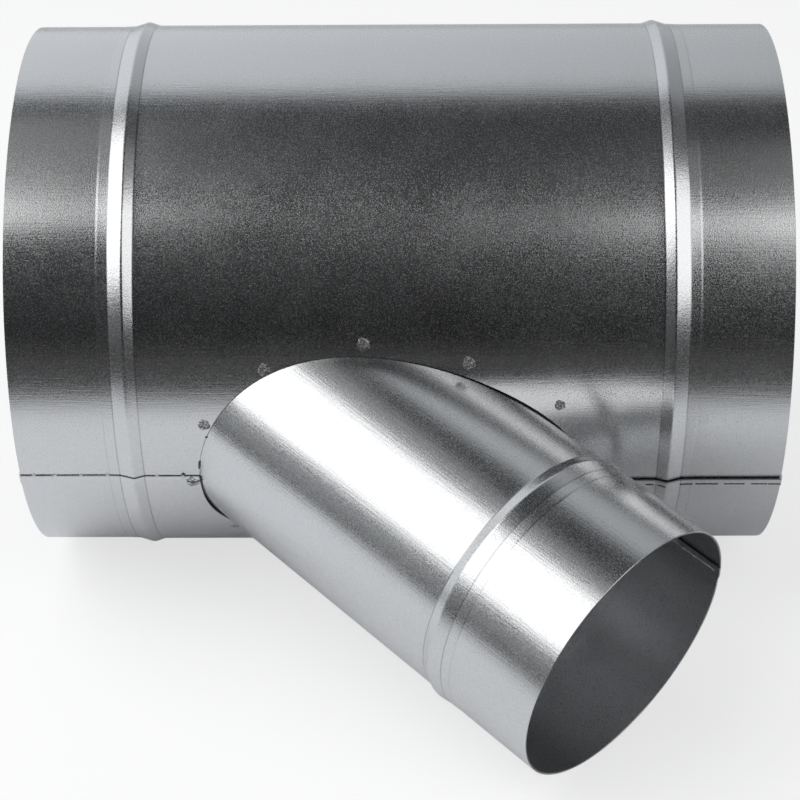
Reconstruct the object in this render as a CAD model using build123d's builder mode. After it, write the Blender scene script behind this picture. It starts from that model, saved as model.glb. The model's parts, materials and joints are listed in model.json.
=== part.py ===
from build123d import *

import os
from math import asin, cos, degrees, radians, sin, sqrt

# The sheet that both ducts are rolled from.
sheet = 0.6

# Main duct, nominal 200. The collar at each end is rolled down to slide into the next duct.
main_body_diameter = 200.0
main_collar_diameter = 199.2
main_length = 276.0
main_collar_length = 32.5

# Branch, nominal 100. Its axis leaves the main axis at branch_foot, counted from the main duct's left mouth,
# which is the fitting's origin. Branch_throat is the plain wall between the crotch and the bead.
branch_body_diameter = 98.0
branch_collar_diameter = 99.2
branch_angle = 45.0
branch_foot = 35.0
branch_throat = 15.8
branch_collar_length = 35.0

# Stop bead, rolled with one pair of rollers on all three ends. It has two straight slopes and a
# narrow crest, and outside it the duct tapers down to its collar.
bead_height = 1.35
bead_inner_slope = 3.8
bead_outer_slope = 5.2
bead_crest_width = 0.8
taper_length = 3.8
taper_drop = 0.25

# Lapped seam along each duct, with a weld strip between the sheets. The outer sheet stands out by the rise,
# and the inner sheet tucks in by what is left of the two thicknesses.
seam_lap = 5.0
seam_gap = 0.15
seam_ramp_angle = 24.0
main_seam_rise = 0.4
branch_seam_rise = 0.0
seam_weld_width = 1.6
seam_weld_end = 3.0
main_seam_from_branch = 0.0
branch_seam_from_top = -91.0

# Saddle: the hole in the main duct, and the branch's flange turned out behind its wall.
saddle_gap = 1.5
flange_width = 9.0
flange_clearance = 0.15
flange_bend = 1.5
neck_height = 4.0

main_body_radius = main_body_diameter / 2
main_collar_radius = main_collar_diameter / 2
branch_body_radius = branch_body_diameter / 2
branch_collar_radius = branch_collar_diameter / 2
branch_slope = radians(branch_angle)
bead_width = bead_inner_slope + bead_outer_slope

# Stations along the branch's axis: the crotch, the end of the flange's neck, and the mouth.
branch_crotch = (main_body_radius + branch_body_radius * cos(branch_slope)) / sin(branch_slope)
neck_end = branch_crotch + neck_height
branch_reach = branch_crotch + branch_throat + bead_width + taper_length + branch_collar_length

# The fitting lies on its two bead rings and on the lowest point of the branch's mouth.
# Branch_dip is how far the branch points below level when it lies so.
mouth_from_axis = branch_reach * sin(branch_slope)
rest_radius = main_body_radius + bead_height
rest_a = mouth_from_axis**2 + (branch_collar_radius * sin(branch_slope)) ** 2
rest_b = mouth_from_axis * rest_radius
rest_c = rest_radius**2 - branch_collar_radius**2
branch_dip = asin((rest_b - sqrt(rest_b**2 - rest_a * rest_c)) / rest_a)

# Directions: along the main duct, along the branch, and the branch's outer and upper sides.
main_axis = Vector(1, 0, 0)
branch_side = Vector(0, -cos(branch_dip), -sin(branch_dip))
branch_axis = main_axis * cos(branch_slope) + branch_side * sin(branch_slope)
branch_top = Vector(0, -sin(branch_dip), cos(branch_dip))
branch_origin = main_axis * branch_foot
branch_plane = Plane(branch_origin, x_dir=branch_top, z_dir=branch_axis)


def turned(direction, axis, angle):
    """The direction, turned round the axis by an angle in degrees."""
    return direction.rotate(Axis((0, 0, 0), axis), angle)


def half_section(start, mouth, body_radius, collar_radius, collar_length):
    """Section of a duct's wall as station and radius: body, bead, taper and collar."""
    taper_end = mouth - collar_length
    crease = taper_end - taper_length
    crest = crease - bead_outer_slope
    outside = [
        (start, body_radius),
        (crest - bead_inner_slope, body_radius),
        (crest - bead_crest_width / 2, body_radius + bead_height),
        (crest + bead_crest_width / 2, body_radius + bead_height),
        (crease, collar_radius + taper_drop),
        (taper_end, collar_radius),
        (mouth, collar_radius),
    ]
    inside = [(station, radius - sheet) for station, radius in reversed(outside)]
    with BuildSketch() as section:
        with BuildLine():
            Polyline(*outside, *inside, close=True)
        make_face()
    return section.sketch


def weld_section(rise, *stretches):
    """Section of the weld between the lapped sheets, one strip for each stretch of start, end and radius."""
    with BuildSketch() as section:
        for start, end, radius in stretches:
            with Locations(((start + end) / 2, radius + rise - sheet - seam_gap / 2)):
                Rectangle(end - start - 2 * seam_weld_end, seam_gap + sheet)
    return section.sketch


def lapped_tube(wall, weld, origin, axis, edge_side, radius, rise):
    """A sheet rolled round an axis, with one edge riding over the other and welded to it.

    Edge_side points from the axis to the outer sheet's free edge.
    The last stretch at each end is rolled round a centre of its own, so that the outer sheet
    has climbed by the rise at its free edge, and the inner sheet has tucked in below it."""
    lap_angle = degrees(seam_lap / radius)
    weld_angle = degrees(seam_weld_width / radius)
    bulge = 1 - cos(radians(seam_ramp_angle))
    set_back = rise / bulge
    set_in = (sheet + seam_gap - rise) / bulge
    outer_side = turned(edge_side, axis, seam_ramp_angle)
    inner_side = turned(edge_side, axis, -seam_ramp_angle)
    weld_side = turned(edge_side, axis, (lap_angle - weld_angle) / 2)
    with BuildPart() as tube:
        with BuildSketch(Plane(origin, x_dir=axis, z_dir=axis.cross(outer_side))) as outer_start:
            add(wall)
        revolve(axis=Axis(origin, axis), revolution_arc=360 - 2 * seam_ramp_angle)
        revolve(
            outer_start.sketch,
            axis=Axis(origin - outer_side * set_back, axis * -1),
            revolution_arc=seam_ramp_angle * radius / (radius + set_back),
        )
        with BuildSketch(Plane(origin, x_dir=axis, z_dir=axis.cross(inner_side))):
            add(wall)
        revolve(
            axis=Axis(origin + inner_side * set_in, axis),
            revolution_arc=(seam_ramp_angle + lap_angle) * radius / (radius - set_in),
        )
        with BuildSketch(Plane(origin, x_dir=axis, z_dir=axis.cross(weld_side))):
            add(weld)
        revolve(axis=Axis(origin, axis), revolution_arc=weld_angle)
    return tube.part


def saddle_body(main_radius, branch_radius, bend):
    """A solid bar along the main axis with a round branch leaving it, bent where they meet."""
    with BuildPart() as body:
        with BuildSketch(Plane.YZ.offset(branch_foot)):
            Circle(main_radius)
        extrude(amount=main_length, both=True)
        with BuildSketch(branch_plane):
            Circle(branch_radius)
        extrude(amount=branch_reach)
        joint = [e for e in body.edges() if e.geom_type not in (GeomType.CIRCLE, GeomType.LINE)]
        chamfer(joint, length=bend)
    return body.part


# Main duct, with the hole that the branch comes out of.
main_taper_end = main_length - main_collar_length
main_bead_foot = main_taper_end - taper_length - bead_width
with BuildSketch() as main_wall:
    add(half_section(main_length / 2, main_length, main_body_radius, main_collar_radius, main_collar_length))
    mirror(about=Plane.YZ.offset(main_length / 2))
main_weld = weld_section(
    main_seam_rise,
    (0, main_length - main_taper_end, main_collar_radius),
    (main_length - main_bead_foot, main_bead_foot, main_body_radius),
    (main_taper_end, main_length, main_collar_radius),
)
main_seam_side = turned(branch_side, main_axis, main_seam_from_branch)
with BuildPart() as main_duct:
    add(
        lapped_tube(
            main_wall.sketch,
            main_weld,
            Vector(0, 0, 0),
            main_axis,
            main_seam_side,
            main_body_radius,
            main_seam_rise,
        )
    )
    with BuildSketch(branch_plane):
        Circle(branch_body_radius + saddle_gap)
    extrude(amount=branch_reach, mode=Mode.SUBTRACT)
main_duct.part.label = "main_duct"

# Flange that lies against the inside of the main duct's seam, bent up into the neck of the branch.
# The inner bend is larger, so that the sheet keeps its thickness round it.
main_seam_tuck = sheet + seam_gap - main_seam_rise
flange_radius = main_body_radius - sheet - main_seam_tuck - flange_clearance
inner_bend = flange_bend + sheet * (2 - sqrt(2))
flange_outside = saddle_body(flange_radius, branch_body_radius, flange_bend)
flange_inside = saddle_body(flange_radius - sheet, branch_body_radius - sheet, inner_bend)
with BuildPart() as flange:
    add(flange_outside)
    add(flange_inside, mode=Mode.SUBTRACT)
    with BuildSketch(branch_plane):
        Circle(branch_body_radius + flange_width)
    extrude(amount=neck_end, mode=Mode.INTERSECT)

# Branch duct, which goes on from the flange's neck.
branch_wall = half_section(
    neck_end, branch_reach, branch_body_radius, branch_collar_radius, branch_collar_length
)
branch_taper_end = branch_reach - branch_collar_length
branch_bead_foot = branch_taper_end - taper_length - bead_width
branch_weld = weld_section(
    branch_seam_rise,
    (neck_end, branch_bead_foot, branch_body_radius),
    (branch_taper_end, branch_reach, branch_collar_radius),
)
branch_seam_side = turned(branch_top, branch_axis, branch_seam_from_top)
with BuildPart() as branch:
    add(
        lapped_tube(
            branch_wall,
            branch_weld,
            branch_origin,
            branch_axis,
            branch_seam_side,
            branch_body_radius,
            branch_seam_rise,
        )
    )
    add(flange.part)
branch.part.label = "branch"

os.makedirs("parts", exist_ok=True)
for duct in (main_duct, branch):
    export_step(duct.part, f"parts/{duct.part.label}.step")
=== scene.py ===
import json
from math import asin, cos, pi, radians, sin, sqrt
from random import Random

import bmesh
import bpy
from mathutils import Matrix, Vector


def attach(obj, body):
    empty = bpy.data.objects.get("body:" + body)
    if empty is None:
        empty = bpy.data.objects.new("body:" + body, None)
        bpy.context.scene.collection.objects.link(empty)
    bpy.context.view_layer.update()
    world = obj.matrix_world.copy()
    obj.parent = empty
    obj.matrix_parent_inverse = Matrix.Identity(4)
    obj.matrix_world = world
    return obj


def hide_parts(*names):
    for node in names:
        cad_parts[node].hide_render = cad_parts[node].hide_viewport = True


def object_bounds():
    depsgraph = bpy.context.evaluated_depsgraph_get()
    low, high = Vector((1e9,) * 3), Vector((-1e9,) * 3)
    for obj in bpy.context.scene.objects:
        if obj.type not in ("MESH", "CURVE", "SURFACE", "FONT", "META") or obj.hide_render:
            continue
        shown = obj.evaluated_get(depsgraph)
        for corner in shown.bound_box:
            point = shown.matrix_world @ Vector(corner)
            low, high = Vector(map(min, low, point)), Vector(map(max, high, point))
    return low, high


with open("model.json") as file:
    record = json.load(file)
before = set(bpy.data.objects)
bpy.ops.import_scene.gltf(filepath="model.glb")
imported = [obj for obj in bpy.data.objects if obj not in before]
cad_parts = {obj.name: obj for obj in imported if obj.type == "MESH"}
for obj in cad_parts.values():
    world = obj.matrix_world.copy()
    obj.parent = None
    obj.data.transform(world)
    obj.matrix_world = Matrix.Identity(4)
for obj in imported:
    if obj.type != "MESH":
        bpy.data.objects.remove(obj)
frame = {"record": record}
cad_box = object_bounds()

MM = 0.001

# Places and radii from the frame's mounts, in metres.
mounts = {mount["name"]: mount for mount in frame["record"]["mounts"]}
main_length = mounts["main_outlet"]["pos_m"][0]
main_collar_radius = mounts["main_outlet"]["dims"]["r_mm"] * MM
main_collar_length = mounts["main_outlet"]["dims"]["length_mm"] * MM
branch_collar_radius = mounts["branch_outlet"]["dims"]["r_mm"] * MM
branch_collar_length = mounts["branch_outlet"]["dims"]["length_mm"] * MM
branch_mouth = Vector(mounts["branch_outlet"]["pos_m"])
branch_axis = Vector(mounts["branch_outlet"]["axis"]).normalized()

# Directions: along the main duct, from its axis towards the branch, and the upper side of both.
main_axis = Vector((1, 0, 0))
branch_side = (branch_axis - main_axis * branch_axis.dot(main_axis)).normalized()
top_side = branch_side.cross(main_axis)
branch_sine = branch_axis.dot(branch_side)
branch_cosine = branch_axis.dot(main_axis)
branch_reach = branch_mouth.dot(branch_side) / branch_sine
branch_root = branch_mouth - branch_axis * branch_reach
heel_side = branch_side * branch_cosine - main_axis * branch_sine

# The sheet, and the forms that are rolled into it.
sheet = 0.6 * MM
main_body_radius = 100 * MM
branch_body_radius = 49 * MM
bead_rise = 1.35 * MM
bead_inner_slope = 3.8 * MM
bead_outer_slope = 5.2 * MM
bead_crest_round = 0.6 * MM
bead_foot_round = 0.5 * MM
taper_length = 3.8 * MM
taper_drop = 0.16 * MM
taper_step = 0.35 * MM
taper_step_drop = 0.4 * taper_drop
rim_bevel = 0.12 * MM

# The saddle: the hole in the main duct, and the branch's flange behind its wall. The hole is cut
# a little slack at the heel below the seam, and at the crotch above it.
hole_radius = branch_body_radius + 0.3 * MM
hole_half = asin(hole_radius / main_body_radius)
heel_slack = 1.1 * MM
crotch_slack = 1.0 * MM
flange_tip_radius = branch_body_radius + 9 * MM
flange_radius = main_body_radius - 1.1 * MM
flange_bend = 1.5 * MM

# The lapped seams. The main duct's outer free edge is turned from the branch's side by a seam angle, which
# is not the same left and right of the branch. It is straight at first and fades out round the duct. The
# tucked edge reaches past the rim as a tongue.
lap_length = 5 * MM
lap_gap = 0.15 * MM
lap_ramp = radians(24)
pressed_width = radians(0.45)
pressed_edge = 0.4 * MM
opened_edge = 0.4 * MM
main_lap_rise = 0.4 * MM
branch_lap_rise = 0.0
main_seam_left = radians(-0.1)
main_seam_right = radians(1.3)
branch_seam = radians(-91)
seam_straight = radians(3)
seam_fade = radians(16)
tongue_reach = 0.5 * MM
tongue_start = radians(-1.2)
tongue_slope = radians(1.0)

# The ragged thread of weld that shows along the branch's seam inside its mouth. How far it wanders and
# its half width are in degrees.
thread_angle = radians(-88.7)
thread_start = 48 * MM
thread_end = 1.5 * MM
thread_steps = 56
thread_wander = 0.35
thread_half_width = (0.12, 0.42)
thread_height = 0.2 * MM
thread_clearance = 0.03 * MM

# Marks on the main duct, as station in millimetres and angle in degrees from the branch's side, downwards.
# The spot welds hold the flange behind the wall. The last four are out of the photo's sight.
spot_welds = (
    (62.6, 1.5), (68.5, -14.2), (90.6, -26.7), (125.5, -32.0), (162.5, -28.0), (194.7, -18.7), (75.2, 21.8),
    (103.0, 31.0), (140.0, 32.5), (176.0, 25.5), (201.0, 9.0),
)
fused_spots = ((4.9, -0.15), (12.6, -0.15), (22.0, -0.15), (31.7, -0.15), (49.7, -0.15), (59.3, -0.1))
fused_lift = 0.02 * MM
scorch_places = ((62.7, 0.2),)
mark_height = 0.08 * MM

# The burrs sit on the edge of the hole at these angles in degrees, at the heel.
burr_angles = (-11.1, -4.5, -4.1, -3.7, -3.3, -2.9, -2.5, 0.1, 1.2)
burr_from_edge = 0.05
burr_lift = -0.05 * MM

# The stitches along the right of the seam, as station, angle and length in millimetres. They are dark with
# heat discolouring and with painted shade of their groove.
stitch_lift = 0.9 * opened_edge
stitches = (
    (228.6, 2.5, 2.9), (232.7, 2.5, 3.4), (241.7, 2.6, 4.3), (249.2, 2.6, 8.0), (259.2, 2.6, 8.3),
    (268.2, 2.65, 6.5), (273.7, 2.7, 5.0),
)

# Shapes of single marks. A round mark has rings of radius and height in millimetres, from its middle
# outwards, and a stroke has points of x, y and width.
weld_rings = ((0.0, 0.04), (0.7, 0.05), (1.15, 0.13), (1.5, 0.11), (2.0, 0.02), (2.2, -0.03))
fused_rings = ((0.0, 0.42), (0.35, 0.38), (0.6, 0.3), (0.75, -0.1))
burr_rings = ((0.0, 0.3), (0.35, 0.22), (0.55, -0.1))
stitch_stroke = (
    (-4.1, 0.0, 0.15), (-3.6, 0.07, 0.7), (-2.5, -0.04, 0.5), (-1.2, 0.08, 0.75), (0.1, 0.0, 0.5),
    (1.4, 0.07, 0.7), (2.6, -0.06, 0.55), (3.7, 0.05, 0.8), (4.1, 0.0, 0.2),
)

# How finely the sheets are divided.
girth_step = radians(2.5)
round_strips = 5
hole_rows = 36
left_columns = 22
right_columns = 30
neck_columns = 34
collar_step = 8 * MM
flange_columns = 5
merge_distance = 0.002 * MM
sharp_angle = radians(30)
cut_face_limit = 0.5

# Colours of the metal and of the shade painted into its creases, and how uneven and rough it is.
zinc = (0.64, 0.643, 0.65)
inner_zinc = (0.7, 0.705, 0.715)
cut_tone = (0.3, 0.303, 0.306)
crease_shade_tone = (0.1, 0.1, 0.1)
scale_tone = (0.06, 0.06, 0.06)
bright_weld_tone = (0.75, 0.75, 0.73)
speck_contrast = 0.05
cloud_roughness = 0.1
grain_relief = 0.03 * MM
weld_relief = 0.35 * MM
weld_roughness = 0.42
weld_speck_spread = -0.2

# The pale table ends here in front and on the left, and the studio is dark beyond it.
table_front = -0.25
table_left = -0.45
table_fade = 0.14
past_table_level = 0.07
floor_reach = 6.0

# A collar of this length, in metres, would put the creases past the duct, so a finish with it has no shade
# painted into them.
past_the_duct = 1.0

# The floor's colour and the share of white glow in it, for the camera and as the metal mirrors it.
floor_tone = (0.94, 0.94, 0.94)
floor_glow = 0.68
floor_tone_in_metal = (0.82, 0.832, 0.855)
floor_glow_in_metal = 0.06

# The bright backdrop fills the directions that lean away from the camera and down by these shares, and
# dims from left to right. The rest of the room is dark, and a little paler above and at both sides.
backdrop_away = 0.891
backdrop_height = -0.454
backdrop_sharpness = 12.0
backdrop_level = 0.69
backdrop_fall = -0.72
backdrop_limit = 0.95
room_level = 0.006
room_rise = 0.035
room_sides = 0.3
room_least = 0.008
backdrop_tone = (0.96, 1.0, 1.035)
white_tone = (1.0, 1.0, 1.0)

# Where the softboxes aim, and which way their height lies.
object_middle = (0.1, -0.1, 0.0)
upwards = (0.0, 0.0, 1.0)
backwards = (0.0, 1.0, 0.0)

# Places of a sheet's materials: its two skins, its cut edges, and the faces painted near black as shade.
OUTSIDE, INSIDE, CUT, PAINTED_SHADE = range(4)


def smooth(value):
    """An even step from 0 to 1."""
    value = min(max(value, 0.0), 1.0)
    return value * value * (3 - 2 * value)


def steps(start, end, count):
    """Evenly spaced values from start to end, both included."""
    return [start + (end - start) * index / count for index in range(count + 1)]


def rounded(corners, lengths):
    """The corners of a flat line, with each inner corner rounded over the length given for it."""
    points = [Vector(corners[0])]
    for before, corner, after, length in zip(corners, corners[1:], corners[2:], lengths):
        corner = Vector(corner)
        start = corner + (Vector(before) - corner).normalized() * length
        end = corner + (Vector(after) - corner).normalized() * length
        for part in steps(0.0, 1.0, round_strips):
            points.append(start.lerp(corner, part).lerp(corner.lerp(end, part), part))
    points.append(Vector(corners[-1]))
    return points


def spigot(body_radius, collar_radius, collar_length):
    """Outside of a duct's end as (distance from the mouth, radius), from the rim to the bead's foot."""
    crease = collar_length + taper_length
    crest = crease + bead_outer_slope
    foot = crest + bead_inner_slope
    corners = [
        (rim_bevel, collar_radius),
        (collar_length - taper_step, collar_radius),
        (collar_length + taper_step, collar_radius + taper_step_drop),
        (crease, collar_radius + taper_drop),
        (crest, body_radius + bead_rise),
        (foot, body_radius),
        (foot + bead_inner_slope, body_radius),
    ]
    rounds = [taper_step / 2, taper_step / 2, bead_foot_round / 2, bead_crest_round, bead_foot_round]
    line = rounded(corners, rounds)
    collar_parts = steps(rim_bevel, line[1].x, round(collar_length / collar_step))
    return [Vector((station, collar_radius)) for station in collar_parts[:-1]] + line[1:]


def lap_lift(girth, rise):
    """How far the sheet stands off its round form, at an angle counted from its outer free edge."""
    tuck = sheet + lap_gap - rise
    bulge = 1 - cos(lap_ramp)
    if girth < lap_ramp:
        return rise * (1 - cos(lap_ramp - girth)) / bulge
    turned = min(girth - (2 * pi - lap_ramp), lap_ramp)
    return -tuck * (1 - cos(max(turned, 0.0))) / bulge


def tongue_shift(girth):
    """How far the tucked edge of the sheet reaches past the rim."""
    return tongue_reach * smooth((girth - 2 * pi - tongue_start) / tongue_slope)


def add_row(mesh, points):
    """A row of vertices."""
    return [mesh.verts.new(point) for point in points]


def bridge(mesh, row, next_row, finish=OUTSIDE):
    """Faces between two rows of vertices."""
    for first, second, third, fourth in zip(row, row[1:], next_row[1:], next_row):
        face = mesh.faces.new((first, second, third, fourth))
        face.material_index = finish


def cap(mesh, row, finish=CUT):
    """Faces across the thickness at a free edge of the sheet."""
    back = row[::-1]
    for index in range(len(row) // 2 - 1):
        face = mesh.faces.new((row[index], row[index + 1], back[index + 1], back[index]))
        face.material_index = finish


def mesh_data(name, mesh):
    """The mesh's data, once it is finished."""
    data = bpy.data.meshes.new(name)
    mesh.to_mesh(data)
    mesh.free()
    return data


def placed(name, data):
    """An object of the data, in the scene."""
    made = bpy.data.objects.new(name, data)
    bpy.context.scene.collection.objects.link(made)
    return made


def finished_sheet(name, mesh, start, axis, cut_from):
    """An object of a closed sheet, smooth apart from its cut edges, with its normals outwards.

    Its faces are told apart as its outside, its inside and its cut edges, which are looked for
    from a station along the axis."""
    bmesh.ops.remove_doubles(mesh, verts=mesh.verts, dist=merge_distance)
    bmesh.ops.dissolve_degenerate(mesh, edges=mesh.edges, dist=merge_distance / 2)
    bmesh.ops.recalc_face_normals(mesh, faces=mesh.faces)
    for face in mesh.faces:
        face.smooth = True
        offset = face.calc_center_median() - start
        station = offset.dot(axis)
        outwards = face.normal.dot((offset - axis * station).normalized())
        if face.material_index == OUTSIDE and abs(outwards) < cut_face_limit and station > cut_from:
            face.material_index = CUT
        elif face.material_index == OUTSIDE and outwards < 0:
            face.material_index = INSIDE
    for edge in mesh.edges:
        edge.smooth = edge.is_manifold and edge.calc_face_angle(0.0) < sharp_angle
    return placed(name, mesh_data(name, mesh))


def main_point(station, radius, angle):
    """A place on the main duct. The angle is turned from the branch's side, downwards."""
    return main_axis * station + (branch_side * cos(angle) - top_side * sin(angle)) * radius


def hole_edge(angle, side):
    """Station of the hole's edge on the main duct's wall, towards the heel (-1) or the crotch (1)."""
    across = main_body_radius * sin(angle)
    half = sqrt(max(hole_radius**2 - across**2, 0.0)) / branch_sine
    if side < 0:
        half += heel_slack * sin(pi * max(angle, 0.0) / hole_half) ** 2
    else:
        half += crotch_slack * sin(pi * max(-angle, 0.0) / hole_half) ** 2
    return branch_root.x + main_body_radius * cos(angle) * branch_cosine / branch_sine + side * half


def main_duct_sheet():
    """The main duct: one rolled sheet with the branch's hole across its seam.

    Each row goes round the section of the left part and then of the right part. They meet in
    the middle, and part along the rows that the hole cuts."""
    lap_angle = lap_length / main_body_radius
    hole_turns = [asin(sin(hole_half) * sin(part)) for part in steps(0.0, pi / 2, hole_rows)]
    wall_count = round((2 * pi - 2 * hole_half) / girth_step)
    wall_turns = steps(hole_half, 2 * pi - hole_half, wall_count)
    edge_turns = [0.0, pressed_width, 2 * pressed_width]
    girths = edge_turns + hole_turns[1:] + wall_turns[1:-1] + [2 * pi - turn for turn in reversed(hole_turns)]
    girths += steps(2 * pi, 2 * pi + lap_angle, 2)[1:]
    profile = spigot(main_body_radius, main_collar_radius, main_collar_length)

    def section(girth, seam, side):
        fade = 1 - smooth((min(girth, 2 * pi + lap_angle - girth) - seam_straight) / seam_fade)
        angle = girth + seam * fade
        lift = lap_lift(girth, main_lap_rise)
        pressed = pressed_edge * max(1 - girth / pressed_width, 0.0) if side < 0 else 0.0
        if side > 0:
            lift += opened_edge * max(1 - girth / lap_ramp, 0.0) ** 2
        shift = tongue_shift(girth)
        nearest = max(min((angle + pi) % (2 * pi) - pi, hole_half), -hole_half)
        edge = hole_edge(nearest, side)
        outside = []
        for point in profile:
            station = point.x - shift * max(1 - point.x / main_collar_length, 0.0)
            outside.append((station if side < 0 else main_length - station, point.y))
        columns = left_columns if side < 0 else right_columns
        last = outside[-1][0]
        outside += [(station, main_body_radius) for station in steps(last, edge, columns)[1:]]
        rim_station, rim_radius = outside[0]
        front_station = rim_station + side * rim_bevel
        inside = [(station, radius - sheet) for station, radius in outside]
        front = [(front_station, rim_radius - rim_bevel), (front_station, rim_radius - sheet + rim_bevel)]
        skin = [(station, radius - pressed) for station, radius in outside]
        path = skin[::-1] + front + inside
        return [main_point(station, radius + lift, angle) for station, radius in path]

    mesh = bmesh.new()
    rows = []
    for girth in girths:
        left = add_row(mesh, section(girth, main_seam_left, -1))
        right = add_row(mesh, section(girth, main_seam_right, 1))
        rows.append((girth, left, right))
    for (girth, left, right), (next_girth, next_left, next_right) in zip(rows, rows[1:]):
        bridge(mesh, left, next_left)
        bridge(mesh, right, next_right)
        middle = (girth + next_girth) / 2
        if middle < hole_half or middle > 2 * pi - hole_half:
            for part, next_part in ((left, next_left), (right, next_right)):
                bridge(mesh, [part[-1], part[0]], [next_part[-1], next_part[0]])
    for _, left, right in (rows[0], rows[-1]):
        cap(mesh, left)
        cap(mesh, right)
    return finished_sheet("main_duct_sheet", mesh, Vector(), main_axis, -main_length)


def branch_point(station, radius, angle):
    """A place on the branch. The angle is turned from its top, towards the heel."""
    return branch_root + branch_axis * station + (top_side * cos(angle) + heel_side * sin(angle)) * radius


def saddle_station(radius, angle):
    """Station along the branch where it is as far from the main axis as the flange is."""
    height = sqrt(flange_radius**2 - (radius * cos(angle)) ** 2)
    return (height - radius * sin(angle) * branch_cosine) / branch_sine


def branch_sheet():
    """The branch: one rolled sheet, from the flange behind the main duct's wall to the mouth."""
    lap_angle = lap_length / branch_body_radius
    count = round(2 * pi / girth_step)
    girths = steps(0.0, 2 * pi, count) + steps(2 * pi, 2 * pi + lap_angle, 4)[1:]
    profile = spigot(branch_body_radius, branch_collar_radius, branch_collar_length)
    mesh = bmesh.new()
    rows = []
    for girth in girths:
        angle = branch_seam + girth
        lift = lap_lift(girth, branch_lap_rise)
        shift = tongue_shift(girth)
        neck = branch_reach - profile[-1].x
        radii = steps(flange_tip_radius, branch_body_radius, flange_columns)
        flange = [(saddle_station(radius, angle), radius) for radius in radii]
        corners = [flange[-2], flange[-1], (neck, branch_body_radius)]
        bend = rounded(corners, [flange_bend])
        wall = steps(bend[-2].x, neck, neck_columns)[1:]
        outside = [Vector(point) for point in flange[:-1]] + bend[1:-1]
        outside += [Vector((station, branch_body_radius)) for station in wall]
        for point in reversed(profile[:-1]):
            station = point.x - shift * max(1 - point.x / branch_collar_length, 0.0)
            outside.append(Vector((branch_reach - station, point.y)))
        normals = []
        for before, after in zip([outside[0]] + outside[:-1], outside[1:] + [outside[-1]]):
            along = (after - before).normalized()
            normals.append(Vector((along.y, -along.x)))
        lifted = [point - normal * lift for point, normal in zip(outside, normals)]
        inside = [point + normal * sheet for point, normal in zip(lifted, normals)]
        rim = lifted[-1]
        front = [rim + Vector((rim_bevel, -rim_bevel)), rim + Vector((rim_bevel, rim_bevel - sheet))]
        path = lifted + front + inside[::-1]
        rows.append(add_row(mesh, [branch_point(point.x, point.y, angle) for point in path]))
    # Painted shade darkens the outer skin of the flange and of its bend, apart from the bend's last strip.
    with_painted_shade = flange_columns + round_strips - 1
    for row, next_row in zip(rows, rows[1:]):
        bridge(mesh, row[: with_painted_shade + 1], next_row[: with_painted_shade + 1], PAINTED_SHADE)
        bridge(mesh, row[with_painted_shade:], next_row[with_painted_shade:])
        bridge(mesh, [row[-1], row[0]], [next_row[-1], next_row[0]])
    cap(mesh, rows[0])
    # The tucked edge's cut face is painted near black as shade.
    cap(mesh, rows[-1], PAINTED_SHADE)
    return finished_sheet("branch_sheet", mesh, branch_root, branch_axis, branch_reach - 2 * rim_bevel)


def inner_weld():
    """The weld's ragged thread along the branch's seam, seen inside the mouth."""
    chance = Random(4)
    radius = branch_collar_radius - 2 * sheet - lap_gap - thread_clearance
    mesh = bmesh.new()
    upper, lower = [], []
    for station in steps(branch_reach - thread_start, branch_reach - thread_end, thread_steps):
        middle = thread_angle + radians(chance.uniform(-thread_wander, thread_wander))
        half = radians(chance.uniform(*thread_half_width))
        lift = chance.uniform(0.0, 1.0) * thread_height
        upper.append(mesh.verts.new(branch_point(station, radius - lift, middle + half)))
        lower.append(mesh.verts.new(branch_point(station, radius, middle - half)))
    bridge(mesh, lower, upper)
    for face in mesh.faces:
        away = face.calc_center_median() - branch_root
        if face.normal.dot(away - branch_axis * away.dot(branch_axis)) > 0:
            face.normal_flip()
    return placed("inner_weld", mesh_data("inner_weld", mesh))


def socket(tree, direction, kind, name, value=None):
    """A named input or output of a node group."""
    made = tree.interface.new_socket(name=name, in_out=direction, socket_type=kind)
    if value is not None:
        made.default_value = value


def node(tree, kind, place, **settings):
    """A node of a tree, at a place in its editor, with its settings."""
    made = tree.nodes.new(kind)
    made.location = place
    for name, value in settings.items():
        setattr(made, name, value)
    return made


def reckon(tree, operation, place, *values, clamp=False):
    """A sum on up to three values, each a socket or a number."""
    made = node(tree, "ShaderNodeMath", place, operation=operation, use_clamp=clamp)
    for entry, value in zip(made.inputs, values):
        if isinstance(value, (int, float)):
            entry.default_value = value
        else:
            tree.links.new(value, entry)
    return made.outputs[0]


def blend(tree, place, share, first, second):
    """A blend of two colours by a share. Each colour is a socket or its red, green and blue."""
    made = node(tree, "ShaderNodeMix", place, data_type="RGBA")
    share_entry, *_, first_entry, second_entry = made.inputs[:8]
    tree.links.new(share, share_entry)
    for entry, colour in ((first_entry, first), (second_entry, second)):
        if isinstance(colour, tuple):
            entry.default_value = (*colour, 1)
        else:
            tree.links.new(colour, entry)
    return made.outputs[2]


def noise(tree, place, vector, scale, detail, roughness=0.5):
    """Noise in three dimensions, with its size from a socket."""
    made = node(tree, "ShaderNodeTexNoise", place, noise_dimensions="3D")
    made.inputs["Detail"].default_value = detail
    made.inputs["Roughness"].default_value = roughness
    tree.links.new(vector, made.inputs["Vector"])
    tree.links.new(scale, made.inputs["Scale"])
    return made.outputs["Fac"]


def bumped(tree, shader, height, distance):
    """Relief on a shader, from a height that changes over the surface."""
    bump = node(tree, "ShaderNodeBump", (-350, -250))
    bump.inputs["Strength"].default_value = 1.0
    bump.inputs["Distance"].default_value = distance
    tree.links.new(height, bump.inputs["Height"])
    tree.links.new(bump.outputs[0], shader.inputs["Normal"])


def new_material(name):
    """A material with its own shader, and the node tree and shader in it."""
    material = bpy.data.materials.new(name)
    material.use_nodes = True
    return material, material.node_tree, material.node_tree.nodes["Principled BSDF"]


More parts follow.
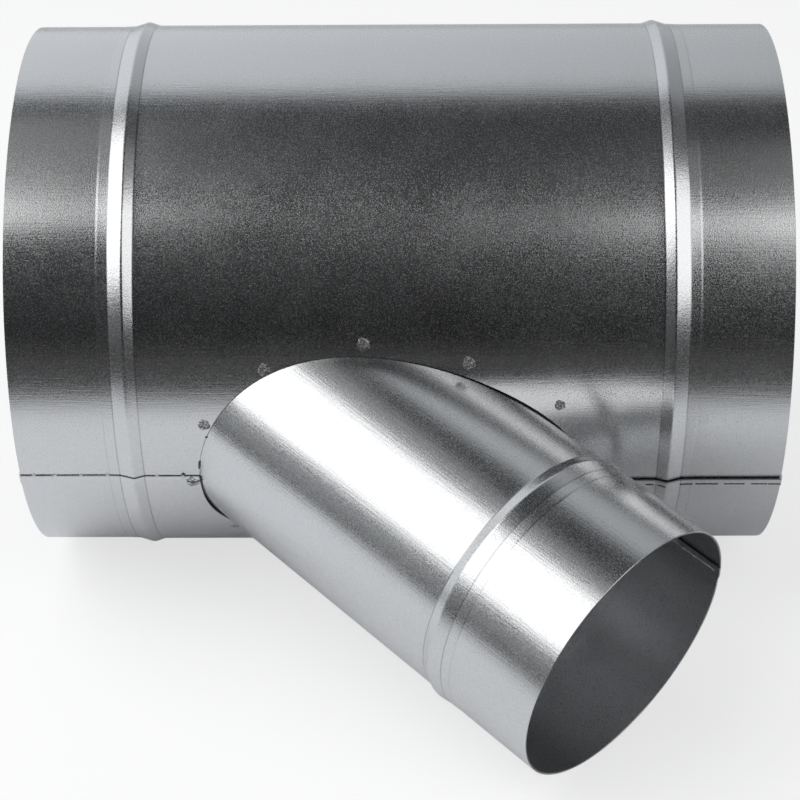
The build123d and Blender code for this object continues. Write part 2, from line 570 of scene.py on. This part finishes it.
def rolled_grain_group():
    """Grain of skin-passed zinc: fine specks, streaks along X and broad clouds, from millimetres."""
    tree = bpy.data.node_groups.new("rolled_zinc_grain", "ShaderNodeTree")
    socket(tree, "INPUT", "NodeSocketVector", "Millimetres")
    socket(tree, "INPUT", "NodeSocketFloat", "Speck Size", 0.42)
    socket(tree, "INPUT", "NodeSocketFloat", "Streak Length", 14.0)
    socket(tree, "INPUT", "NodeSocketFloat", "Streak Width", 0.55)
    socket(tree, "INPUT", "NodeSocketFloat", "Streak Share", 0.9)
    socket(tree, "INPUT", "NodeSocketFloat", "Cloud Size", 22.0)
    socket(tree, "OUTPUT", "NodeSocketFloat", "Height")
    socket(tree, "OUTPUT", "NodeSocketFloat", "Speck")
    socket(tree, "OUTPUT", "NodeSocketFloat", "Cloud")
    enter = node(tree, "NodeGroupInput", (-900, 0))
    leave = node(tree, "NodeGroupOutput", (600, 0))
    speck_scale = reckon(tree, "DIVIDE", (-700, 200), 1.0, enter.outputs["Speck Size"])
    speck = noise(tree, (-450, 250), enter.outputs["Millimetres"], speck_scale, 2.0, 0.55)
    streak_width = enter.outputs["Streak Width"]
    squeeze = reckon(tree, "DIVIDE", (-700, -50), streak_width, enter.outputs["Streak Length"])
    streak_scale = reckon(tree, "DIVIDE", (-700, -200), 1.0, streak_width)
    factor = node(tree, "ShaderNodeCombineXYZ", (-600, -150))
    factor.inputs["Y"].default_value = 1.0
    factor.inputs["Z"].default_value = 1.0
    tree.links.new(squeeze, factor.inputs["X"])
    stretched = node(tree, "ShaderNodeVectorMath", (-500, -100), operation="MULTIPLY")
    tree.links.new(enter.outputs["Millimetres"], stretched.inputs[0])
    tree.links.new(factor.outputs[0], stretched.inputs[1])
    streak = noise(tree, (-300, -50), stretched.outputs[0], streak_scale, 2.0)
    cloud_scale = reckon(tree, "DIVIDE", (-700, -350), 1.0, enter.outputs["Cloud Size"])
    cloud = noise(tree, (-300, -350), enter.outputs["Millimetres"], cloud_scale, 4.0, 0.6)
    height = reckon(tree, "MULTIPLY_ADD", (100, 100), streak, enter.outputs["Streak Share"], speck)
    tree.links.new(height, leave.inputs["Height"])
    spread = node(tree, "ShaderNodeMapRange", (100, 300))
    spread.inputs["From Min"].default_value = 0.32
    spread.inputs["From Max"].default_value = 0.68
    tree.links.new(speck, spread.inputs["Value"])
    tree.links.new(spread.outputs["Result"], leave.inputs["Speck"])
    tree.links.new(cloud, leave.inputs["Cloud"])
    return tree


def painted_crease_shade_group():
    """Painted shade in the creases of a duct's end, from the distance to its mouth in millimetres."""
    tree = bpy.data.node_groups.new("painted_crease_shade", "ShaderNodeTree")
    socket(tree, "INPUT", "NodeSocketFloat", "From Mouth")
    socket(tree, "INPUT", "NodeSocketFloat", "Collar", 32.5)
    socket(tree, "INPUT", "NodeSocketFloat", "Line Width", 0.38)
    socket(tree, "OUTPUT", "NodeSocketFloat", "Painted Shade")
    enter = node(tree, "NodeGroupInput", (-900, 0))
    leave = node(tree, "NodeGroupOutput", (300, 0))
    depth = reckon(tree, "SUBTRACT", (-700, 0), enter.outputs["From Mouth"], enter.outputs["Collar"])
    crease = taper_length / MM
    foot = (taper_length + bead_outer_slope + bead_inner_slope) / MM
    crease_shade = None
    for place, strength in ((0.0, 0.35), (crease, 1.0), (foot, 1.0)):
        near = reckon(tree, "ABSOLUTE", (-400, 0), reckon(tree, "SUBTRACT", (-550, 0), depth, place))
        near = reckon(tree, "DIVIDE", (-300, 0), near, enter.outputs["Line Width"])
        line = reckon(tree, "SUBTRACT", (-200, 0), 1.0, near, clamp=True)
        line = reckon(tree, "MULTIPLY", (-100, 0), line, strength)
        crease_shade = line if crease_shade is None else reckon(tree, "MAXIMUM", (0, 0), crease_shade, line)
    tree.links.new(crease_shade, leave.inputs["Painted Shade"])
    return tree


def zinc_sheet(name, along, mouths, collar, tone, roughness, speck_spread):
    """Galvanised sheet, whose rolling marks run along a direction of the object.

    Mouths are the stations of its ends along that direction, and collar is a collar's length. The
    specks add to the roughness, by up to speck_spread."""
    material, tree, shader = new_material(name)
    shader.inputs["Metallic"].default_value = 1.0
    place = node(tree, "ShaderNodeTexCoord", (-1300, 0))
    turn = node(tree, "ShaderNodeMapping", (-1100, 0), vector_type="POINT")
    turn.inputs["Rotation"].default_value = along.rotation_difference(Vector((1, 0, 0))).to_euler()
    turn.inputs["Scale"].default_value = (1 / MM, 1 / MM, 1 / MM)
    tree.links.new(place.outputs["Object"], turn.inputs["Vector"])
    grain = node(tree, "ShaderNodeGroup", (-850, 0), node_tree=rolled_grain)
    tree.links.new(turn.outputs[0], grain.inputs["Millimetres"])
    darker = tuple(channel * (1 - speck_contrast) for channel in tone)
    paler = tuple(channel * (1 + speck_contrast) for channel in tone)
    shade = blend(tree, (-350, 200), grain.outputs["Speck"], darker, paler)
    split = node(tree, "ShaderNodeSeparateXYZ", (-850, -400))
    tree.links.new(turn.outputs[0], split.inputs[0])
    from_mouth = None
    for mouth in mouths:
        offset = reckon(tree, "SUBTRACT", (-700, -400), split.outputs[0], mouth / MM)
        away = reckon(tree, "ABSOLUTE", (-600, -400), offset)
        from_mouth = away if from_mouth is None else reckon(tree, "MINIMUM", (-500, -400), from_mouth, away)
    # Painted shade: the creases near the mouths are darkened towards a near-black tone, unevenly by the
    # clouds.
    creases = node(tree, "ShaderNodeGroup", (-350, -400), node_tree=painted_crease_lines)
    creases.inputs["Collar"].default_value = collar / MM
    tree.links.new(from_mouth, creases.inputs["From Mouth"])
    crease_shade = reckon(tree, "MULTIPLY", (-200, -400), creases.outputs["Painted Shade"], grain.outputs["Cloud"])
    with_painted_shade = blend(tree, (-150, 200), crease_shade, shade, crease_shade_tone)
    tree.links.new(with_painted_shade, shader.inputs["Base Color"])
    least = roughness - cloud_roughness / 2
    gloss = reckon(tree, "MULTIPLY_ADD", (-500, -50), grain.outputs["Cloud"], cloud_roughness, least)
    gloss = reckon(tree, "MULTIPLY_ADD", (-350, -50), grain.outputs["Speck"], speck_spread, gloss)
    tree.links.new(gloss, shader.inputs["Roughness"])
    bumped(tree, shader, grain.outputs["Height"], grain_relief)
    return material


def mark_mesh(name, *bands):
    """A small mark that lies on the sheet: bands of (x, y, width) in millimetres, each across y."""
    mesh = bmesh.new()
    for band in bands:
        pairs = []
        for x, y, width in band:
            upper = mesh.verts.new((x * MM, (y + width / 2) * MM, mark_height))
            lower = mesh.verts.new((x * MM, (y - width / 2) * MM, mark_height))
            pairs.append((upper, lower))
        for (upper, lower), (next_upper, next_lower) in zip(pairs, pairs[1:]):
            mesh.faces.new((lower, next_lower, next_upper, upper))
    return mesh_data(name, mesh)


def round_mark(name, rings, sides=14):
    """A round mark from rings of (radius, height) in millimetres, from its middle outwards."""
    mesh = bmesh.new()
    middle = mesh.verts.new((0, 0, rings[0][1] * MM))
    rows = []
    for radius, height in rings[1:]:
        row = []
        for side in range(sides):
            turn = 2 * pi * side / sides
            uneven = 0.07 * sin(3 * turn + radius) + 0.08 * sin(5 * turn + 2 * radius)
            reach = radius * MM * (1 + uneven)
            row.append(mesh.verts.new((cos(turn) * reach, sin(turn) * reach, height * MM)))
        rows.append(row)
    for side in range(sides):
        after = (side + 1) % sides
        mesh.faces.new((middle, rows[0][side], rows[0][after]))
        for row, next_row in zip(rows, rows[1:]):
            mesh.faces.new((row[side], next_row[side], next_row[after], row[after]))
    for face in mesh.faces:
        face.smooth = True
    return mesh_data(name, mesh)


def scorch_stroke(half_width, depth, shift, start, end, parts, line, swell):
    """A stroke along the lower side of an oval, in millimetres, which swells towards its lowest point."""
    turns = steps(start - pi, end, parts)
    return [(half_width * cos(turn) + shift, depth * sin(turn), line - swell * sin(turn)) for turn in turns]


def place_value(tree, place, name, kind):
    """What a place on the sheet says of itself, under a name."""
    attribute = node(tree, "GeometryNodeInputNamedAttribute", place, data_type=kind)
    attribute.inputs["Name"].default_value = name
    return attribute.outputs["Attribute"]


def marks_tree():
    """Geometry nodes that repeat a mark on places of a surface, turned along it and of varied size."""
    tree = bpy.data.node_groups.new("marks_on_sheet", "GeometryNodeTree")
    socket(tree, "INPUT", "NodeSocketGeometry", "Places")
    socket(tree, "INPUT", "NodeSocketObject", "Mark")
    socket(tree, "INPUT", "NodeSocketFloat", "Size Spread", 0.1)
    socket(tree, "INPUT", "NodeSocketInt", "Seed", 7)
    socket(tree, "INPUT", "NodeSocketMaterial", "Finish")
    socket(tree, "OUTPUT", "NodeSocketGeometry", "Marks")
    enter = node(tree, "NodeGroupInput", (-900, 0))
    leave = node(tree, "NodeGroupOutput", (700, 0))
    outward = place_value(tree, (-700, -200), "outward", "FLOAT_VECTOR")
    along = place_value(tree, (-700, -400), "along", "FLOAT_VECTOR")
    stretch = place_value(tree, (-450, 0), "stretch", "FLOAT")
    turn = node(tree, "FunctionNodeAxesToRotation", (-450, -300), primary_axis="Z", secondary_axis="X")
    tree.links.new(outward, turn.inputs[0])
    tree.links.new(along, turn.inputs[1])
    size = node(tree, "FunctionNodeRandomValue", (-450, 150), data_type="FLOAT")
    smallest = reckon(tree, "SUBTRACT", (-700, 100), 1.0, enter.outputs["Size Spread"])
    largest = reckon(tree, "ADD", (-700, 250), 1.0, enter.outputs["Size Spread"])
    tree.links.new(smallest, size.inputs[2])
    tree.links.new(largest, size.inputs[3])
    tree.links.new(enter.outputs["Seed"], size.inputs["Seed"])
    mark = node(tree, "GeometryNodeObjectInfo", (-450, 400))
    tree.links.new(enter.outputs["Mark"], mark.inputs["Object"])
    scale = node(tree, "ShaderNodeCombineXYZ", (-250, 200))
    tree.links.new(reckon(tree, "MULTIPLY", (-250, 0), stretch, size.outputs[1]), scale.inputs["X"])
    tree.links.new(size.outputs[1], scale.inputs["Y"])
    tree.links.new(size.outputs[1], scale.inputs["Z"])
    copies = node(tree, "GeometryNodeInstanceOnPoints", (-100, 0))
    tree.links.new(enter.outputs["Places"], copies.inputs["Points"])
    tree.links.new(mark.outputs["Geometry"], copies.inputs["Instance"])
    tree.links.new(turn.outputs["Rotation"], copies.inputs["Rotation"])
    tree.links.new(scale.outputs[0], copies.inputs["Scale"])
    solid = node(tree, "GeometryNodeRealizeInstances", (150, 0))
    tree.links.new(copies.outputs["Instances"], solid.inputs["Geometry"])
    finish = node(tree, "GeometryNodeSetMaterial", (400, 0))
    tree.links.new(solid.outputs["Geometry"], finish.inputs["Geometry"])
    tree.links.new(enter.outputs["Finish"], finish.inputs["Material"])
    tree.links.new(finish.outputs["Geometry"], leave.inputs["Marks"])
    return tree


def main_radius(station):
    """Radius of the main duct's outside at a station, away from its seam."""
    profile = spigot(main_body_radius, main_collar_radius, main_collar_length)
    from_mouth = min(station, main_length - station)
    if from_mouth < profile[0].x:
        return profile[0].y
    for near, far in zip(profile, profile[1:]):
        if near.x <= from_mouth <= far.x:
            return near.y + (far.y - near.y) * (from_mouth - near.x) / (far.x - near.x)
    return main_body_radius


def marked_places(name, places, mark_length, seam, lift):
    """Bare points on the main duct's sheet. Each keeps its outward side, its way along and its stretch."""
    points, alongs, outwards, stretches = [], [], [], []
    for station, degrees_down, *length in places:
        angle = radians(degrees_down)
        off = lap_lift((angle - seam) % (2 * pi), main_lap_rise) + lift
        ends = [main_point(at * MM, main_radius(at * MM) + off, angle) for at in (station - 1, station + 1)]
        points.append(main_point(station * MM, main_radius(station * MM) + off, angle))
        alongs.append((ends[1] - ends[0]).normalized())
        outward = main_point(0.0, 1.0, angle)
        outwards.append((outward - alongs[-1] * outward.dot(alongs[-1])).normalized())
        stretches.append(length[0] / mark_length if length else 1.0)
    spots = bpy.data.meshes.new(name)
    spots.from_pydata(points, [], [])
    for attribute_name, vectors in (("outward", outwards), ("along", alongs)):
        attribute = spots.attributes.new(attribute_name, "FLOAT_VECTOR", "POINT")
        for value, vector in zip(attribute.data, vectors):
            value.vector = vector
    attribute = spots.attributes.new("stretch", "FLOAT", "POINT")
    for value, stretch in zip(attribute.data, stretches):
        value.value = stretch
    return spots


def marks(name, mark_data, places, finish, seed, size_spread, seam=main_seam_left, lift=0.0):
    """Marks repeated on the main duct as one plain mesh, lifted off its sheet.

    Each place is a station, an angle and, if the mark is stretched, its length in millimetres."""
    mark = placed(name + "_pattern", mark_data)
    mark_length = max(vertex.co.x for vertex in mark_data.vertices) * 2 / MM
    piece = placed(name, marked_places(name, places, mark_length, seam, lift))
    modifier = piece.modifiers.new("marks", "NODES")
    modifier.node_group = mark_repeater
    values = {"Mark": mark, "Size Spread": size_spread, "Seed": seed, "Finish": finish}
    for item in mark_repeater.interface.items_tree:
        if item.in_out == "INPUT" and item.name in values:
            modifier[item.identifier] = values[item.name]
    evaluated = piece.evaluated_get(bpy.context.evaluated_depsgraph_get())
    plain = bpy.data.meshes.new_from_object(evaluated)
    piece.modifiers.clear()
    piece.data = plain
    plain.name = name
    bpy.data.objects.remove(mark)
    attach(piece, "root")


def weld_spot_zinc():
    """Zinc burnt and roughened by a spot weld, with lumps of dark scale and bright metal."""
    material, tree, shader = new_material("weld_spot_zinc")
    shader.inputs["Metallic"].default_value = 1.0
    place = node(tree, "ShaderNodeTexCoord", (-1300, 0))
    larger = node(tree, "ShaderNodeVectorMath", (-1100, 0), operation="SCALE")
    larger.inputs["Scale"].default_value = 1 / MM
    tree.links.new(place.outputs["Object"], larger.inputs[0])
    lumps = node(tree, "ShaderNodeGroup", (-850, 0), node_tree=rolled_grain)
    lumps.inputs["Speck Size"].default_value = 0.7
    tree.links.new(larger.outputs[0], lumps.inputs["Millimetres"])
    shade = blend(tree, (-350, 200), lumps.outputs["Speck"], scale_tone, bright_weld_tone)
    tree.links.new(shade, shader.inputs["Base Color"])
    specks = lumps.outputs["Speck"]
    gloss = reckon(tree, "MULTIPLY_ADD", (-350, -50), specks, weld_speck_spread, weld_roughness)
    tree.links.new(gloss, shader.inputs["Roughness"])
    bumped(tree, shader, lumps.outputs["Height"], weld_relief)
    return material


def matt_finish(name, tone, roughness):
    """A plain finish of one grey tone, without shine."""
    material, _, shader = new_material(name)
    shader.inputs["Base Color"].default_value = (tone, tone, tone, 1)
    shader.inputs["Roughness"].default_value = roughness
    return material


def camera_at_photo():
    """The camera that the photograph was taken from, fitted to the ducts' outlines."""
    place = Vector((147.13, -767.78, 396.65)) * MM
    right = Vector((0.99993, 0.00845, -0.0083))
    view = Vector((-0.01149, 0.86259, -0.50577)).normalized()
    right = (right - view * right.dot(view)).normalized()
    up = right.cross(view)
    data = bpy.data.cameras.new("photo_camera")
    data.lens = 98.8
    data.sensor_width = 36.0
    data.clip_start = 0.05
    camera = placed("photo_camera", data)
    columns = Matrix((right, up, -view)).transposed().to_4x4()
    camera.matrix_world = Matrix.Translation(place) @ columns
    bpy.context.scene.camera = camera


def softbox(name, place, aim, upright, width, height, level, in_metal=True):
    """A soft lamp whose face has the level given, where 1 is white. Its height lies along upright."""
    data = bpy.data.lights.new(name, "AREA")
    data.shape = "RECTANGLE"
    data.size = width
    data.size_y = height
    data.energy = level * pi * width * height
    lamp = placed(name, data)
    back = (Vector(place) - Vector(aim)).normalized()
    upright = Vector(upright)
    upright = (upright - back * upright.dot(back)).normalized()
    turn = Matrix((upright.cross(back), upright, back)).transposed().to_4x4()
    lamp.matrix_world = Matrix.Translation(place) @ turn
    lamp.visible_camera = False
    lamp.visible_glossy = in_metal


def studio_floor():
    """A plain pale floor that the camera and the metal see, with the object's shadow on it."""
    mesh = bmesh.new()
    corners = ((-1, -1), (1, -1), (1, 1), (-1, 1))
    mesh.faces.new([mesh.verts.new((x * floor_reach, y * floor_reach, cad_box[0][2])) for x, y in corners])
    floor = placed("studio_floor", mesh_data("studio_floor", mesh))
    material, tree, _ = new_material("pale_floor")
    tree.nodes.clear()
    out = node(tree, "ShaderNodeOutputMaterial", (500, 0))
    matt = node(tree, "ShaderNodeBsdfDiffuse", (0, 100))
    white = node(tree, "ShaderNodeEmission", (0, -100))
    rays = node(tree, "ShaderNodeLightPath", (-600, 300))
    in_metal = rays.outputs["Is Glossy Ray"]
    pale = blend(tree, (-200, 200), in_metal, floor_tone, floor_tone_in_metal)
    tree.links.new(pale, matt.inputs["Color"])
    share = reckon(tree, "MULTIPLY", (-400, 300), rays.outputs["Is Camera Ray"], floor_glow)
    share = reckon(tree, "MULTIPLY_ADD", (-200, 300), in_metal, floor_glow_in_metal, share)
    mix = node(tree, "ShaderNodeMixShader", (200, 0))
    tree.links.new(share, mix.inputs[0])
    tree.links.new(matt.outputs[0], mix.inputs[1])
    tree.links.new(white.outputs[0], mix.inputs[2])
    place = node(tree, "ShaderNodeTexCoord", (-900, -300))
    split = node(tree, "ShaderNodeSeparateXYZ", (-700, -300))
    tree.links.new(place.outputs["Object"], split.inputs[0])
    front = reckon(tree, "SUBTRACT", (-500, -300), table_front, split.outputs["Y"])
    left = reckon(tree, "SUBTRACT", (-500, -450), table_left, split.outputs["X"])
    past = reckon(tree, "MAXIMUM", (-400, -400), front, left)
    past = reckon(tree, "DIVIDE", (-350, -300), past, table_fade, clamp=True)
    past = reckon(tree, "MULTIPLY", (-200, -300), past, in_metal)
    dark = node(tree, "ShaderNodeEmission", (0, -300))
    dark.inputs["Strength"].default_value = past_table_level
    shade = node(tree, "ShaderNodeMixShader", (350, -100))
    tree.links.new(past, shade.inputs[0])
    tree.links.new(mix.outputs[0], shade.inputs[1])
    tree.links.new(dark.outputs[0], shade.inputs[2])
    tree.links.new(shade.outputs[0], out.inputs["Surface"])
    floor.data.materials.append(material)


def studio_world():
    """A dark room with a bright backdrop behind and above, and white for the camera."""
    world = bpy.data.worlds.new("studio")
    bpy.context.scene.world = world
    world.use_nodes = True
    tree = world.node_tree
    tree.nodes.clear()
    out = node(tree, "ShaderNodeOutputWorld", (900, 0))
    place = node(tree, "ShaderNodeTexCoord", (-900, 0))
    split = node(tree, "ShaderNodeSeparateXYZ", (-700, 0))
    tree.links.new(place.outputs["Generated"], split.inputs[0])
    along, away, height = split.outputs
    lean = reckon(tree, "MULTIPLY", (-650, 150), height, backdrop_height)
    back = reckon(tree, "MULTIPLY_ADD", (-500, 200), away, backdrop_away, lean)
    back = reckon(tree, "MULTIPLY_ADD", (-350, 200), back, backdrop_sharpness, 0.5, clamp=True)
    back_level = reckon(tree, "MULTIPLY_ADD", (-350, 50), along, backdrop_fall, backdrop_level)
    back_level = reckon(tree, "MINIMUM", (-200, 50), back_level, backdrop_limit)
    dark = reckon(tree, "MULTIPLY_ADD", (-350, -100), height, room_rise, room_level)
    sides = reckon(tree, "MULTIPLY", (-450, -200), along, along)
    dark = reckon(tree, "MULTIPLY_ADD", (-300, -200), sides, room_sides, dark)
    dark = reckon(tree, "MAXIMUM", (-200, -100), dark, room_least)
    level = node(tree, "ShaderNodeMix", (0, 0), data_type="FLOAT")
    tree.links.new(back, level.inputs["Factor"])
    tree.links.new(dark, level.inputs["A"])
    tree.links.new(back_level, level.inputs["B"])
    rays = node(tree, "ShaderNodeLightPath", (200, 300))
    seen = reckon(tree, "MAXIMUM", (400, 200), level.outputs[0], rays.outputs["Is Camera Ray"])
    background = node(tree, "ShaderNodeBackground", (650, 0))
    colour = blend(tree, (400, -200), rays.outputs["Is Camera Ray"], backdrop_tone, white_tone)
    tree.links.new(colour, background.inputs["Color"])
    tree.links.new(seen, background.inputs["Strength"])
    tree.links.new(background.outputs[0], out.inputs["Surface"])


camera_at_photo()
rolled_grain = rolled_grain_group()
# Shade painted into the creases of the ducts' ends.
painted_crease_lines = painted_crease_shade_group()
mark_repeater = marks_tree()

# Each duct's direction, the stations of its mouths along it, and the length of its collars.
main_form = (main_axis, (0.0, main_length), main_collar_length)
branch_form = (branch_axis, (branch_root.dot(branch_axis) + branch_reach,), branch_collar_length)
uncreased_form = (*main_form[:2], past_the_duct)
main_zinc = zinc_sheet("main_duct_zinc", *main_form, zinc, roughness=0.12, speck_spread=0.2)
main_inner_zinc = zinc_sheet(
    "main_duct_inner_zinc", *main_form, inner_zinc, roughness=0.22, speck_spread=0.15
)
branch_zinc = zinc_sheet("branch_zinc", *branch_form, zinc, roughness=0.13, speck_spread=0.2)
branch_inner_zinc = zinc_sheet(
    "branch_inner_zinc", *branch_form, inner_zinc, roughness=0.22, speck_spread=0.15
)
cut_steel = zinc_sheet("cut_edge", *uncreased_form, cut_tone, roughness=0.5, speck_spread=0.1)
# Near black: shade painted on the flange seen through the crotch's gap and on the tucked edge inside the
# mouth.
painted_seam_shade = matt_finish("painted_seam_shade", tone=0.012, roughness=0.7)
# Near black for the scorch mark, the burrs and the stitches; on the stitches it is heat discolouring and also
# painted shade of their groove.
scorch_and_shade = matt_finish("scorch_and_painted_shade_zinc", tone=0.06, roughness=0.6)
spatter = matt_finish("weld_spatter", tone=0.62, roughness=0.5)

main_piece = main_duct_sheet()
for finish in (main_zinc, main_inner_zinc, cut_steel):
    main_piece.data.materials.append(finish)
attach(main_piece, "root")
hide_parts("main_duct")

branch_piece = branch_sheet()
for finish in (branch_zinc, branch_inner_zinc, cut_steel, painted_seam_shade):
    branch_piece.data.materials.append(finish)
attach(branch_piece, "root")
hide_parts("branch")

thread = inner_weld()
thread.data.materials.append(spatter)
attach(thread, "root")

weld_spot = round_mark("spot_weld", weld_rings)
marks("spot_welds", weld_spot, spot_welds, weld_spot_zinc(), seed=3, size_spread=0.12)
fused_spot = round_mark("seam_spot", fused_rings, sides=10)
marks("seam_spots", fused_spot, fused_spots, main_zinc, seed=5, size_spread=0.15, lift=fused_lift)
stitch = mark_mesh("seam_stitch", stitch_stroke)
marks(
    "seam_stitches", stitch, stitches, scorch_and_shade, seed=9, size_spread=0.1,
    seam=main_seam_right, lift=stitch_lift,
)
outer_arc = scorch_stroke(2.5, 2.3, shift=0.0, start=0.15, end=-0.15, parts=12, line=0.15, swell=0.5)
inner_arc = scorch_stroke(1.5, 1.2, shift=-0.4, start=0.3, end=-0.5, parts=8, line=0.3, swell=0.0)
scorch = mark_mesh("scorch", outer_arc, inner_arc)
marks("scorch_mark", scorch, scorch_places, scorch_and_shade, seed=1, size_spread=0.0)
burr = round_mark("saddle_burr", burr_rings, sides=8)
burrs = [(hole_edge(radians(turned), -1) / MM + burr_from_edge, turned) for turned in burr_angles]
marks("saddle_burrs", burr, burrs, scorch_and_shade, seed=11, size_spread=0.4, lift=burr_lift)

studio_floor()
studio_world()
softbox("left_softbox", (-1.55, -0.75, 1.64), object_middle, upwards, width=2.5, height=2.15, level=1.7)
softbox("right_softbox", (1.52, -1.36, 1.33), (0.15, -0.05, 0.0), upwards, width=1.8, height=2.0, level=1.35)
softbox("left_ceiling", (-0.62, -0.22, 2.28), object_middle, backwards, width=0.7, height=1.6, level=0.28)
softbox("right_ceiling", (0.96, -0.63, 2.16), object_middle, backwards, width=0.8, height=1.2, level=0.22)
softbox("top_softbox", (-0.6, -0.2, 1.9), object_middle, backwards, 2.0, 2.0, level=1.35, in_metal=False)
softbox("left_fill", (-1.3, -0.3, 0.45), (0.0, -0.15, -0.1), upwards, 0.8, 0.8, level=1.0, in_metal=False)

bpy.context.scene.view_settings.view_transform = "Standard"
